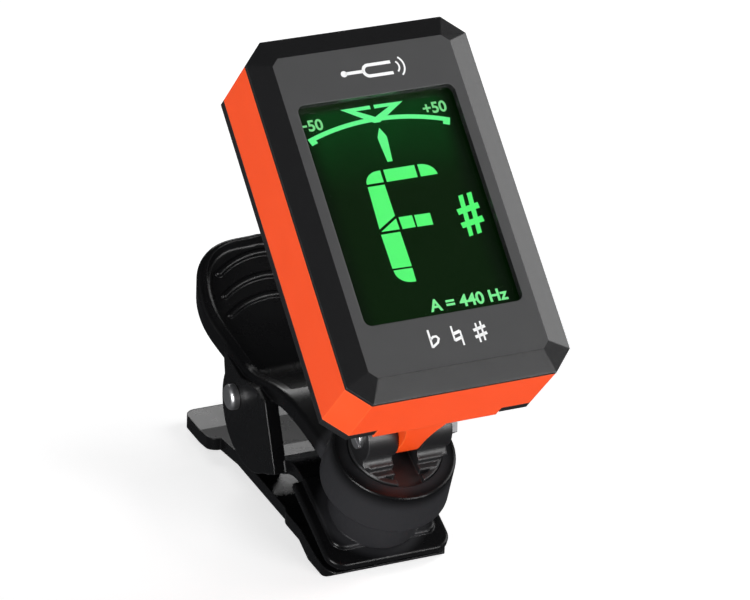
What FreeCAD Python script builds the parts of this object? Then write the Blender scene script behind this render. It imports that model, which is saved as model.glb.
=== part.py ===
import FreeCAD, Part
import math
import os

from FreeCAD import Placement, Rotation, Vector

# Clip-on tuner: a display head on a tilt hinge, a swivel and a sprung clip. Millimetres.
# The clip rests on its lower arm: +X to the display's right, +Y towards the finger paddles, +Z up.

# ---- driving dimensions ----
# head, measured flat: x across, y along the display, z out of it, z = 0 at the bezel's side wall top
HEAD_WIDTH = 30.0
HEAD_LENGTH = 49.0
CORNER_CUT = 2.7
WALL = 1.2
BEZEL_SIDE = 0.5
BEZEL_RISE = 1.05
BEVEL_INSET = 2.93
BEVEL_CORNER_CUT = 0.96
HOUSING_DEPTH = 9.5
COVER_THICKNESS = 1.6
COVER_INSET = 0.0
COVER_CHAMFER = 0.25
WINDOW_WIDTH = 21.3
WINDOW_LENGTH = 29.8
WINDOW_CORNER = 1.0
WINDOW_LAP = 1.5
WINDOW_THICKNESS = 1.0
GASKET_THICKNESS = 0.3
GLASS_THICKNESS = 1.7
LIGHT_THICKNESS = 1.2
BOARD_THICKNESS = 1.0
BOARD_DEPTH = 4.4
POST_RADIUS = 1.6
POST_INSET_X = 3.6
POST_INSET_Y = 3.5
SCREW_RADIUS = 0.85
SCREW_HEAD_RADIUS = 1.5
CELL_RADIUS = 10.0
CELL_THICKNESS = 3.2
CELL_Y = 10.0
DOOR_RADIUS = 11.8
DOOR_GAP = 0.1
LUG_REACH = 0.8
BUTTON_RADIUS = 3.0
BUTTON_Y = -7.0
BUTTON_TRAVEL = 0.3
BOSS_HALF_WIDTH = 8.4
BOSS_DEPTH = 4.0
BOSS_DROP = 0.6
TONGUE_ROOT_WIDTH = 5.4
TONGUE_WIDTH = 3.2
HINGE_INSET = 3.6
HINGE_DROP = 10.8
LEAN = 41.2

# swivel and tilt hinge, measured along the collar's own axis from the middle of its rim
COLLAR_TILT = 24.2
COLLAR_RIM_Y = 0.7
COLLAR_RIM_Z = 17.8
COLLAR_RADIUS = 8.0
COLLAR_BASE_RADIUS = 8.4
COLLAR_HEIGHT = 6.3
COLLAR_FLOOR = 2.8
DISC_RADIUS = 6.0
DISC_GAP = 0.08
DISC_PROUD = 0.3
RING_THICKNESS = 0.4
PEDESTAL_RADIUS = 6.0
PEDESTAL_BORE = 3.0
CLEVIS_WIDTH = 11.5
CLEVIS_SLOT = 3.5
KNUCKLE_RADIUS = 3.0
TILT_HEIGHT = 3.9
TILT_RADIUS = 1.0
SWIVEL_SCREW_RADIUS = 1.25
PIN_GAP = 0.05

# clip
PIVOT_Y = 31.3
PIVOT_Z = 11.7
PIVOT_RADIUS = 1.0
RIVET_RADIUS = 1.75
RIVET_HEAD = 1.2
EAR_THICKNESS = 1.8
OUTER_EAR_X = 8.8
EAR_GAP = 0.2
EAR_ROUND = 2.0
ARM_LENGTH = 46.8
PADDLE_HALF_WIDTH = 9.7
PLATE_HALF_WIDTH = 8.2
JAW_HALF_WIDTH = 8.6
LOWER_THICKNESS = 1.7
LOWER_ARCH = 1.3
JAW_FRONT = 0.0
JAW_EDGE = 1.2
JAW_ROUND = 3.0
JAW_FLANGE = 0.9
JAW_STEP = 0.55
STEP_INSET = 1.3
STEP_SETBACK = 2.4
PAD_THICKNESS = 0.5
PAD_SINK = 0.25
JAW_GAP = 0.15
DECK_THICKNESS = 2.3
DISH_DEPTH = 0.8
RIM_ROUND = 0.6
DISH_SWEEP = 0.5
RIDGE_RADIUS = 0.5
RIDGE_SWEEP = 11.0
RIDGE_REACH = 6.3
RIDGE_SPACING = 1.9
RIDGE_SETBACK = 2.05
SPRING_WIRE = 0.7
SPRING_INNER_RADIUS = 1.2
SPRING_TURNS = 5

# ---- values that follow ----
HALF_WIDTH = HEAD_WIDTH / 2
HALF_LENGTH = HEAD_LENGTH / 2
HOUSING_TOP = -BEZEL_SIDE
HOUSING_BOTTOM = HOUSING_TOP - HOUSING_DEPTH
COVER_BOTTOM = HOUSING_BOTTOM - COVER_THICKNESS
WINDOW_TOP = 0.05
GLASS_TOP = WINDOW_TOP - WINDOW_THICKNESS - GASKET_THICKNESS
GLASS_BOTTOM = GLASS_TOP - GLASS_THICKNESS
BOARD_TOP = -BOARD_DEPTH
BOARD_BOTTOM = BOARD_TOP - BOARD_THICKNESS
CELL_BOTTOM = HOUSING_BOTTOM + 0.2
CELL_TOP = CELL_BOTTOM + CELL_THICKNESS
POST_X = HALF_WIDTH - POST_INSET_X
POST_Y = HALF_LENGTH - POST_INSET_Y
TILT_Y = -HALF_LENGTH + HINGE_INSET
TILT_Z = COVER_BOTTOM - HINGE_DROP
INNER_EAR_X = OUTER_EAR_X - EAR_THICKNESS - EAR_GAP
DISC_BOTTOM = -COLLAR_HEIGHT + COLLAR_FLOOR + RING_THICKNESS
JAW_TIP_Z = JAW_EDGE + 2 * (PAD_THICKNESS - PAD_SINK) + JAW_GAP

# top of the upper arm's rim, from the collar back over the pivot and up to the paddle's end: (y, z)
DECK_TOP = [(7.0, PIVOT_Z + 3.9), (13.0, PIVOT_Z + 5.6), (19.3, PIVOT_Z + 6.5), (25.0, PIVOT_Z + 5.4),
            (PIVOT_Y - 1.3, PIVOT_Z + 4.6), (PIVOT_Y + 4.2, PIVOT_Z + 6.3), (ARM_LENGTH - 6.0, PIVOT_Z + 9.9),
            (ARM_LENGTH - 3.2, PIVOT_Z + 13.3), (ARM_LENGTH - 0.9, PIVOT_Z + 16.3), (ARM_LENGTH + 0.6, PIVOT_Z + 18.0)]
# right half of the upper arm seen from above, and of the dish inside its rim: (x, y)
DECK_OUTLINE = [(6.5, 7.0), (7.0, 13.0), (7.6, 19.0), (OUTER_EAR_X - 0.7, 30.0), (OUTER_EAR_X - 0.1, 35.0),
                (PADDLE_HALF_WIDTH + 0.3, ARM_LENGTH - 5.6), (PADDLE_HALF_WIDTH - 0.4, ARM_LENGTH - 2.8),
                (7.0, ARM_LENGTH - 1.2), (3.5, ARM_LENGTH - 0.6), (0.0, ARM_LENGTH - 0.5)]
DISH_OUTLINE = [(6.1, 19.4), (6.6, 30.0), (7.2, 35.0), (PADDLE_HALF_WIDTH - 1.2, ARM_LENGTH - 5.6),
                (PADDLE_HALF_WIDTH - 1.8, ARM_LENGTH - 3.3), (5.8, ARM_LENGTH - 1.9), (3.0, ARM_LENGTH - 1.5),
                (0.0, ARM_LENGTH - 1.4)]


# ---- helpers ----
def block(x0, x1, y0, y1, z0, z1):
    """A box between the given faces."""
    return Part.makeBox(x1 - x0, y1 - y0, z1 - z0, Vector(x0, y0, z0))


def disc(radius, z0, z1, x=0.0, y=0.0):
    """A cylinder along Z."""
    return Part.makeCylinder(radius, z1 - z0, Vector(x, y, z0))


def rod_x(radius, x0, x1, y, z):
    """A cylinder along X."""
    return Part.makeCylinder(radius, x1 - x0, Vector(x0, y, z), Vector(1, 0, 0))


def octagon(half_x, half_y, cut, z):
    """A rectangle with its four corners cut at 45 degrees, at height z."""
    corners = []
    for sx, sy in ((1, 1), (-1, 1), (-1, -1), (1, -1)):
        side = Vector(sx * half_x, sy * (half_y - cut), z)
        end = Vector(sx * (half_x - cut), sy * half_y, z)
        corners += [side, end] if sx * sy > 0 else [end, side]
    return Part.makePolygon(corners + corners[:1])


def slab(half_x, half_y, cut, z0, z1):
    """A plate with cut corners."""
    return Part.Face(octagon(half_x, half_y, cut, z0)).extrude(Vector(0, 0, z1 - z0))


def rounded_plate(x0, x1, y0, y1, radius, z0, z1):
    """A plate with round corners."""
    plate = block(x0, x1, y0, y1, z0, z1)
    upright = [e for e in plate.Edges if abs(e.tangentAt(e.FirstParameter).z) > 0.9]
    return plate.makeFillet(radius, upright)


def chain(points):
    """A closed wire through points, where three in brackets are an arc's end, middle and end."""
    edges = []
    start = last = None
    for step in points:
        if isinstance(step[0], tuple):
            edge = Part.Arc(last, Vector(*step[0]), Vector(*step[1])).toShape()
            last = Vector(*step[1])
        else:
            here = Vector(*step)
            if last is None:
                start = last = here
                continue
            edge = Part.LineSegment(last, here).toShape()
            last = here
        edges.append(edge)
    if last.distanceToPoint(start) > 1e-6:
        edges.append(Part.LineSegment(last, start).toShape())
    return Part.Wire(edges)


def side_prism(outline, x0, x1):
    """An outline in the Y-Z plane, extruded across from x0 to x1."""
    steps = []
    for step in outline:
        if isinstance(step[0], tuple):
            steps.append(tuple((x0, y, z) for y, z in step))
        else:
            steps.append((x0, step[0], step[1]))
    return Part.Face(chain(steps)).extrude(Vector(x1 - x0, 0, 0))


def front_prism(outline, y0, y1):
    """An outline in the X-Z plane, extruded along Y from y0 to y1."""
    steps = []
    for step in outline:
        if isinstance(step[0], tuple):
            steps.append(tuple((x, y0, z) for x, z in step))
        else:
            steps.append((step[0], y0, step[1]))
    return Part.Face(chain(steps)).extrude(Vector(0, y1 - y0, 0))


def plan_prism(outline, z0, z1):
    """An outline in the X-Y plane, mirrored about X = 0 from its right half, extruded up."""
    edges = []
    right = [Vector(x, y, z0) for x, y in outline]
    curve = Part.BSplineCurve()
    curve.interpolate(right)
    half = curve.toShape()
    other = half.mirror(Vector(0, 0, 0), Vector(1, 0, 0))
    edges += [half, other]
    for end in (right[0], right[-1]):
        if abs(end.x) > 1e-6:
            edges.append(Part.LineSegment(end, Vector(-end.x, end.y, z0)).toShape())
    wire = Part.Wire(Part.__sortEdges__(edges))
    return Part.Face(wire).extrude(Vector(0, 0, z1 - z0))


def offset_curve(points, depth, x):
    """A smooth curve at X = x through (y, z) points, moved down along its normals by depth."""
    upper = Part.BSplineCurve()
    upper.interpolate([Vector(x, y, z) for y, z in points])
    moved = []
    for y, z in points:
        along = upper.tangent(upper.parameter(Vector(x, y, z)))[0]
        moved.append(Vector(x, y, z) - Vector(0, -along.z, along.y) * depth)
    curve = Part.BSplineCurve()
    curve.interpolate(moved)
    return curve


def curve_strip(top, thickness, x0, x1):
    """A plate across X whose top follows a smooth curve through (y, z) points."""
    upper = offset_curve(top, 0.0, x0)
    lower = offset_curve(top, thickness, x0)
    ends = [Part.LineSegment(upper.StartPoint, lower.StartPoint), Part.LineSegment(upper.EndPoint, lower.EndPoint)]
    wire = Part.Wire(Part.__sortEdges__([c.toShape() for c in [upper, lower] + ends]))
    return Part.Face(wire).extrude(Vector(x1 - x0, 0, 0))


def space_above(top, depth, height, x0, x1):
    """Everything above a curve that runs depth below the (y, z) points."""
    floor = offset_curve(top, depth, x0)
    first, last = floor.StartPoint, floor.EndPoint
    corners = [last, Vector(x0, last.y, height), Vector(x0, first.y, height), first]
    lines = [Part.LineSegment(a, b) for a, b in zip(corners, corners[1:])]
    wire = Part.Wire(Part.__sortEdges__([c.toShape() for c in [floor] + lines]))
    return Part.Face(wire).extrude(Vector(x1 - x0, 0, 0))


def round_top(plate, top, radius):
    """A flat plate with the edges of its top face rounded."""
    rim = [e for e in plate.Edges if e.BoundBox.ZMin > top - 1e-6]
    return plate.makeFillet(radius, rim)


def both_sides(shape):
    """A shape and its mirror image about X = 0."""
    return [shape, shape.mirror(Vector(0, 0, 0), Vector(1, 0, 0))]


def join(first, *others):
    """One solid from several that touch or overlap."""
    return first.fuse([o for o in others]).removeSplitter()


# ---- head, laid flat ----
def post_places():
    """The four places where a case screw runs."""
    return [(sx * POST_X, sy * POST_Y) for sx in (-1, 1) for sy in (-1, 1)]


def front_bezel():
    """Dark frame with a wide bevel all round, a skirt into the housing and four screw posts."""
    top_x = HALF_WIDTH - BEVEL_INSET
    top_y = HALF_LENGTH - BEVEL_INSET
    side = slab(HALF_WIDTH, HALF_LENGTH, CORNER_CUT, -BEZEL_SIDE, 0)
    bevel = Part.makeLoft(
        [octagon(HALF_WIDTH, HALF_LENGTH, CORNER_CUT, 0),
         octagon(top_x, top_y, BEVEL_CORNER_CUT, BEZEL_RISE)], True, True)
    inside_x = HALF_WIDTH - WALL - 0.1
    inside_y = HALF_LENGTH - WALL - 0.1
    body = join(side, bevel)
    pocket = slab(inside_x, inside_y, CORNER_CUT - 0.5, -BEZEL_SIDE, WINDOW_TOP)
    body = body.cut(pocket)
    skirt_low = -BEZEL_SIDE - 1.2
    skirt = slab(inside_x, inside_y, CORNER_CUT - 0.5, skirt_low, WINDOW_TOP)
    skirt = skirt.cut(slab(inside_x - 0.8, inside_y - 0.8, CORNER_CUT - 1.0, skirt_low, WINDOW_TOP))
    posts = [disc(POST_RADIUS, BOARD_TOP, WINDOW_TOP, x, y) for x, y in post_places()]
    body = join(body, skirt, *posts)
    opening = rounded_plate(-WINDOW_WIDTH / 2, WINDOW_WIDTH / 2, -WINDOW_LENGTH / 2, WINDOW_LENGTH / 2,
                            WINDOW_CORNER, -0.5, BEZEL_RISE + 0.5)
    pilots = [disc(SCREW_RADIUS + PIN_GAP, BOARD_TOP, -0.6, x, y) for x, y in post_places()]
    return body.cut([opening] + pilots)


def display_window():
    """Clear plate under the bezel."""
    x = WINDOW_WIDTH / 2 + WINDOW_LAP
    y = WINDOW_LENGTH / 2 + WINDOW_LAP
    return rounded_plate(-x, x, -y, y, WINDOW_CORNER, WINDOW_TOP - WINDOW_THICKNESS, WINDOW_TOP)


def display_gasket():
    """Foam frame between the window and the glass."""
    x = WINDOW_WIDTH / 2 + WINDOW_LAP - 0.2
    y = WINDOW_LENGTH / 2 + WINDOW_LAP - 0.2
    low = GLASS_TOP
    high = GLASS_TOP + GASKET_THICKNESS
    hole_x = WINDOW_WIDTH / 2 + 0.4
    hole_y = WINDOW_LENGTH / 2 + 0.4
    return block(-x, x, -y, y, low, high).cut(block(-hole_x, hole_x, -hole_y, hole_y, low, high))


def lcd_panel():
    """Two glass plates; the rear one is longer and its ledge carries the contacts."""
    x = WINDOW_WIDTH / 2 + 1.0
    y = WINDOW_LENGTH / 2 + 1.0
    middle = (GLASS_TOP + GLASS_BOTTOM) / 2
    front = block(-x, x, -y + 2.0, y, middle, GLASS_TOP)
    rear = block(-x, x, -y, y, GLASS_BOTTOM, middle)
    return join(front, rear)


def display_frame():
    """Frame that stands on the board and holds the glass and the light guide."""
    hole_x = WINDOW_WIDTH / 2 + 1.1
    hole_y = WINDOW_LENGTH / 2 + 1.1
    x = hole_x + 0.9
    y = hole_y + 0.9
    frame = block(-x, x, -y, y, BOARD_TOP, GLASS_TOP)
    return frame.cut(block(-hole_x, hole_x, -hole_y, hole_y, BOARD_TOP, GLASS_TOP))


def backlight_panel():
    """Light guide behind the glass."""
    x = WINDOW_WIDTH / 2 + 0.4
    top = WINDOW_LENGTH / 2 - 0.8
    bottom = -WINDOW_LENGTH / 2 + 2.0
    return block(-x, x, bottom, top, GLASS_BOTTOM - LIGHT_THICKNESS, GLASS_BOTTOM)


def backlight_leds():
    """Two lamps that shine into the light guide's upper edge."""
    edge = WINDOW_LENGTH / 2 - 0.7
    lamps = [block(x - 1.5, x + 1.5, edge, edge + 1.0, BOARD_TOP, BOARD_TOP + 1.2) for x in (-5.5, 5.5)]
    return Part.makeCompound(lamps)


def zebra_strip():
    """Elastomer strip that joins the glass's ledge to the board."""
    x = WINDOW_WIDTH / 2 - 0.6
    y = -WINDOW_LENGTH / 2 - 0.8
    return block(-x, x, y, y + 1.8, BOARD_TOP, GLASS_BOTTOM)


def circuit_board():
    """Board clamped between the bezel's posts and the housing's."""
    x = HALF_WIDTH - WALL - 0.3
    y = HALF_LENGTH - WALL - 0.3
    board = slab(x, y, CORNER_CUT - 0.6, BOARD_BOTTOM, BOARD_TOP)
    holes = [disc(SCREW_RADIUS + 0.15, BOARD_BOTTOM, BOARD_TOP, px, py) for px, py in post_places()]
    return board.cut(holes)


def controller_chip():
    """Square chip with a row of legs on each side."""
    x, y, half, top = -7.0, -8.0, 3.5, BOARD_BOTTOM
    body = block(x - half, x + half, y - half, y + half, top - 1.2, top - 0.1)
    legs = []
    for i in range(6):
        along = (i - 2.5) * 1.0
        for side in (-1, 1):
            edge = side * half
            low, high = sorted((edge - side * 0.2, edge + side * 0.8))
            legs.append(block(x + low, x + high, y + along - 0.2, y + along + 0.2, top - 0.5, top))
            legs.append(block(x + along - 0.2, x + along + 0.2, y + low, y + high, top - 0.5, top))
    return join(body, *legs)


def timing_crystal():
    """Metal can that lies on the board."""
    return Part.makeCylinder(1.0, 5.0, Vector(8.0, -10.5, BOARD_BOTTOM - 1.0), Vector(0, 1, 0))


def power_switch():
    """Tact switch under the power button."""
    low = BOARD_BOTTOM - 2.0
    body = block(-2.6, 2.6, BUTTON_Y - 2.6, BUTTON_Y + 2.6, low, BOARD_BOTTOM)
    return join(body, disc(1.3, low - 0.6, low, 0, BUTTON_Y))


def piezo_pickup():
    """Brass disc with a ceramic face, bonded to the housing's web beside the hinge boss."""
    y = -HALF_LENGTH + WALL + 4.8
    low = HOUSING_BOTTOM + 1.0
    return join(disc(4.4, low, low + 0.3, 0, y), disc(3.0, low + 0.3, low + 0.55, 0, y))


def cell_holder():
    """Ring under the board that holds the coin cell, open at one side for its contact."""
    ring = disc(CELL_RADIUS + 0.9, CELL_BOTTOM + 0.4, BOARD_BOTTOM, 0, CELL_Y)
    ring = ring.cut(disc(CELL_RADIUS + 0.15, CELL_BOTTOM, BOARD_BOTTOM, 0, CELL_Y))
    return ring.cut(block(8.0, 12.0, CELL_Y - 2.2, CELL_Y + 2.2, CELL_BOTTOM, BOARD_BOTTOM))


def coin_cell():
    """Lithium cell: a wide can with a slightly smaller cap on its board side."""
    can = disc(CELL_RADIUS, CELL_BOTTOM, CELL_TOP - 0.5, 0, CELL_Y)
    return join(can, disc(CELL_RADIUS - 1.2, CELL_TOP - 0.5, CELL_TOP, 0, CELL_Y))


def cell_contact_positive():
    """Bent strip that touches the cell's side."""
    x = CELL_RADIUS
    upright = block(x + 0.02, x + 0.32, CELL_Y - 1.8, CELL_Y + 1.8, CELL_BOTTOM + 0.6, BOARD_BOTTOM)
    return join(upright, block(x + 0.02, x + 1.6, CELL_Y - 1.8, CELL_Y + 1.8, BOARD_BOTTOM - 0.3, BOARD_BOTTOM))


def cell_contact_negative():
    """Strip on the board with two raised fingers that touch the cell's cap."""
    base = block(-6.0, 6.0, CELL_Y - 1.5, CELL_Y + 1.5, BOARD_BOTTOM - 0.25, BOARD_BOTTOM)
    drop = CELL_TOP + 0.02
    fingers = [block(x - 0.6, x + 0.6, CELL_Y - 1.5, CELL_Y + 1.5, drop, BOARD_BOTTOM) for x in (-3.5, 3.5)]
    return join(base, *fingers)


def tongue():
    """Hinge tongue: it fits the clevis's slot round the tilt axle and flares towards the boss."""
    root = COVER_BOTTOM - BOSS_DROP + 0.5
    front = TILT_Y - KNUCKLE_RADIUS + 0.2
    back = TILT_Y + KNUCKLE_RADIUS - 0.4
    profile = join(block(-10, 10, front, back, TILT_Z, root), rod_x(KNUCKLE_RADIUS - 0.2, -10, 10, TILT_Y, TILT_Z))
    half_root = TONGUE_ROOT_WIDTH / 2
    half_tip = TONGUE_WIDTH / 2
    flare_top = TILT_Z + 7.4
    flare_foot = TILT_Z + 1.9
    bend_x = half_tip + 0.3 * (half_root - half_tip)
    bend_z = flare_foot + 0.5 * (flare_top - flare_foot)
    half_steps = [(half_root, root), (half_root, flare_top), ((bend_x, bend_z), (half_tip, flare_foot)),
                  (half_tip, TILT_Z - 4.0)]
    other_steps = [(-half_tip, TILT_Z - 4.0), (-half_tip, flare_foot), ((-bend_x, bend_z), (-half_root, flare_top)),
                   (-half_root, root)]
    wedge = front_prism(half_steps + other_steps, -HALF_LENGTH - 5, -HALF_LENGTH + 15)
    cheek_room = rod_x(KNUCKLE_RADIUS + 0.2, half_tip, 10, TILT_Y, TILT_Z)
    return profile.common(wedge).cut(both_sides(cheek_room))


def mid_housing():
    """Orange frame with screw posts, a web for the pickup, the bottom boss and the hinge tongue."""
    outer = slab(HALF_WIDTH, HALF_LENGTH, CORNER_CUT, HOUSING_BOTTOM, HOUSING_TOP)
    inner = slab(HALF_WIDTH - WALL, HALF_LENGTH - WALL, CORNER_CUT - 0.5, HOUSING_BOTTOM, HOUSING_TOP)
    frame = outer.cut(inner)
    posts = [disc(POST_RADIUS, HOUSING_BOTTOM, BOARD_BOTTOM, x, y) for x, y in post_places()]
    ties = []
    for x, y in post_places():
        near_x, far_x = sorted((x, math.copysign(HALF_WIDTH - 0.5, x)))
        near_y, far_y = sorted((y, math.copysign(HALF_LENGTH - 0.5, y)))
        ties.append(block(near_x, far_x, y - 0.5, y + 0.5, HOUSING_BOTTOM, BOARD_BOTTOM))
        ties.append(block(x - 0.5, x + 0.5, near_y, far_y, HOUSING_BOTTOM, BOARD_BOTTOM))
    bottom = -HALF_LENGTH
    boss_low = COVER_BOTTOM - BOSS_DROP
    boss = block(-BOSS_HALF_WIDTH, BOSS_HALF_WIDTH, bottom, bottom + BOSS_DEPTH, boss_low, HOUSING_BOTTOM + 1.0)
    web = block(-BOSS_HALF_WIDTH, BOSS_HALF_WIDTH, bottom + 0.5, bottom + WALL + 9.4,
                HOUSING_BOTTOM, HOUSING_BOTTOM + 1.0)
    body = join(frame, boss, web, tongue(), *(posts + ties))
    bores = [disc(SCREW_RADIUS + 0.15, HOUSING_BOTTOM, BOARD_BOTTOM, x, y) for x, y in post_places()]
    axle = rod_x(TILT_RADIUS + PIN_GAP, -10, 10, TILT_Y, TILT_Z)
    return body.cut(bores + [axle])


def lug(gap, z0, z1):
    """One bayonet lug's shape at the door's edge, towards +X."""
    reach = DOOR_RADIUS + LUG_REACH + gap
    width = 2.2 + gap
    return block(DOOR_RADIUS - 0.5, reach + 2, CELL_Y - width, CELL_Y + width, z0, z1).common(
        disc(reach, z0, z1, 0, CELL_Y))


def back_cover():
    """Black plate with the round battery opening, the button's hole and four screw seats."""
    x = HALF_WIDTH - COVER_INSET
    y = HALF_LENGTH - COVER_INSET
    plate = slab(x, y, CORNER_CUT, COVER_BOTTOM, HOUSING_BOTTOM)
    rim = [e for e in plate.Edges if e.BoundBox.ZMax < COVER_BOTTOM + 1e-6]
    plate = plate.makeChamfer(COVER_CHAMFER, rim)
    notch_x = BOSS_HALF_WIDTH + 0.15
    notch = block(-notch_x, notch_x, -HALF_LENGTH - 1, -HALF_LENGTH + BOSS_DEPTH + 0.15,
                  COVER_BOTTOM - 1, HOUSING_BOTTOM)
    cuts = [notch, disc(DOOR_RADIUS + DOOR_GAP, COVER_BOTTOM, HOUSING_BOTTOM, 0, CELL_Y),
            disc(BUTTON_RADIUS + 0.1, COVER_BOTTOM, HOUSING_BOTTOM, 0, BUTTON_Y)]
    key = lug(0.15, COVER_BOTTOM, HOUSING_BOTTOM)
    for turn in (45, 225):
        way = key.copy()
        way.rotate(Vector(0, CELL_Y, 0), Vector(0, 0, 1), turn)
        cuts.append(way)
    for px, py in post_places():
        cuts.append(disc(SCREW_RADIUS + 0.15, COVER_BOTTOM, HOUSING_BOTTOM, px, py))
        cuts.append(disc(SCREW_HEAD_RADIUS + 0.1, COVER_BOTTOM, COVER_BOTTOM + 0.8, px, py))
    return plate.cut(cuts)


def battery_door():
    """Round door with a coin slot and two bayonet lugs under the cover."""
    door = disc(DOOR_RADIUS, COVER_BOTTOM, HOUSING_BOTTOM + 0.1, 0, CELL_Y)
    skirt = disc(DOOR_RADIUS, HOUSING_BOTTOM + 0.05, HOUSING_BOTTOM + 0.9, 0, CELL_Y)
    skirt = skirt.cut(disc(CELL_RADIUS + 1.1, HOUSING_BOTTOM + 0.05, HOUSING_BOTTOM + 0.9, 0, CELL_Y))
    key = lug(0.0, HOUSING_BOTTOM + 0.05, HOUSING_BOTTOM + 0.85)
    other = key.copy()
    other.rotate(Vector(0, CELL_Y, 0), Vector(0, 0, 1), 180)
    slot = rounded_plate(-6.5, 6.5, CELL_Y - 0.8, CELL_Y + 0.8, 0.5, COVER_BOTTOM - 1, COVER_BOTTOM + 0.8)
    return join(door, skirt, key, other).cut(slot)


def power_button():
    """Round button with a flange inside the cover and a stem towards the switch."""
    cap = disc(BUTTON_RADIUS, COVER_BOTTOM - 0.7, HOUSING_BOTTOM + 0.05, 0, BUTTON_Y)
    rim = [e for e in cap.Edges if e.BoundBox.ZMax < COVER_BOTTOM - 0.6]
    cap = cap.makeFillet(0.4, rim)
    flange = disc(BUTTON_RADIUS + 0.7, HOUSING_BOTTOM + 0.03, HOUSING_BOTTOM + 0.6, 0, BUTTON_Y)
    tip = BOARD_BOTTOM - 2.6 - BUTTON_TRAVEL - 0.05
    return join(cap, flange, disc(1.1, HOUSING_BOTTOM + 0.5, tip, 0, BUTTON_Y))


def cross_slots(x, y, z0, z1, reach):
    """The cross recess of a screw's head."""
    return [block(x - reach, x + reach, y - 0.15, y + 0.15, z0, z1),
            block(x - 0.15, x + 0.15, y - reach, y + reach, z0, z1)]


def case_screws():
    """Four screws that clamp cover, housing, board and bezel."""
    screws = []
    seat = COVER_BOTTOM + 0.8
    for x, y in post_places():
        screw = join(disc(SCREW_HEAD_RADIUS, seat - 0.7, seat, x, y), disc(SCREW_RADIUS, seat, -1.0, x, y))
        screws.append(screw.cut(cross_slots(x, y, seat - 0.8, seat - 0.35, 0.9)))
    return Part.makeCompound(screws)


# ---- swivel, about the collar's axis ----
def clevis():
    """Disc with a shallow cup, two cheeks with stepped feet and the tilt axle's bore."""
    top = DISC_PROUD
    base = disc(DISC_RADIUS, DISC_BOTTOM, top)
    base = base.cut(disc(DISC_RADIUS - 0.7, -0.5, top))
    half = CLEVIS_WIDTH / 2
    knuckle = rod_x(KNUCKLE_RADIUS, -half, half, 0, TILT_HEIGHT)
    waist = 2.3
    neck = side_prism([(-3.3, 1.3), ((-2.45, 1.9), (-waist, 2.7)), (-waist, TILT_HEIGHT), (waist, TILT_HEIGHT),
                       (waist, 2.7), ((2.45, 1.9), (3.3, 1.3))], -half, half)
    feet = join(block(-half, half, -3.3, 3.3, -0.6, 1.3), block(-half, half, -4.2, 4.2, -0.6, 0.5))
    feet = feet.common(disc(DISC_RADIUS - 0.1, -0.6, 1.3))
    neck = neck.common(disc(DISC_RADIUS + 1.0, -0.6, TILT_HEIGHT))
    body = join(base, feet, neck, knuckle)
    slot = block(-CLEVIS_SLOT / 2, CLEVIS_SLOT / 2, -10, 10, -0.5, 10)
    axle = rod_x(TILT_RADIUS + PIN_GAP, -10, 10, 0, TILT_HEIGHT)
    thread = disc(SWIVEL_SCREW_RADIUS + PIN_GAP, DISC_BOTTOM, -0.9)
    return body.cut([slot, axle, thread])


def friction_ring():
    """Ring that the disc turns on."""
    low = -COLLAR_HEIGHT + COLLAR_FLOOR
    ring = disc(DISC_RADIUS - 0.2, low, low + RING_THICKNESS)
    return ring.cut(disc(SWIVEL_SCREW_RADIUS + 1.0, low, low + RING_THICKNESS))


def swivel_washer():
    """Washer between the screw's head and the collar's floor."""
    high = -COLLAR_HEIGHT - 0.05
    return disc(2.6, high - 0.5, high).cut(disc(SWIVEL_SCREW_RADIUS + 0.1, high - 0.5, high))


def swivel_screw():
    """Screw from below into the disc."""
    seat = -COLLAR_HEIGHT - 0.6
    head = disc(2.3, seat - 1.3, seat)
    screw = join(head, disc(SWIVEL_SCREW_RADIUS, seat, -1.0))
    return screw.cut(cross_slots(0, 0, seat - 1.4, seat - 0.7, 1.4))


def tilt_screw():
    """Axle of the tilt hinge, with a flat round head on the left cheek."""
    half = CLEVIS_WIDTH / 2
    head = rod_x(1.4, -half - 0.6, -half - 0.02, 0, TILT_HEIGHT)
    shaft = rod_x(TILT_RADIUS, -half - 0.1, half + 1.6, 0, TILT_HEIGHT)
    slot = block(-half - 1.0, -half - 0.35, -2, 2, TILT_HEIGHT - 0.2, TILT_HEIGHT + 0.2)
    return join(head, shaft).cut(slot)


def tilt_nut():
    """Hexagon nut on the right cheek."""
    half = CLEVIS_WIDTH / 2 + 0.02
    corners = []
    for i in range(7):
        a = math.radians(60 * i)
        corners.append(Vector(half, 1.9 * math.cos(a), TILT_HEIGHT + 1.9 * math.sin(a)))
    nut = Part.Face(Part.makePolygon(corners)).extrude(Vector(1.3, 0, 0))
    return nut.cut(rod_x(TILT_RADIUS + 0.02, half - 1, half + 3, 0, TILT_HEIGHT))


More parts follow.
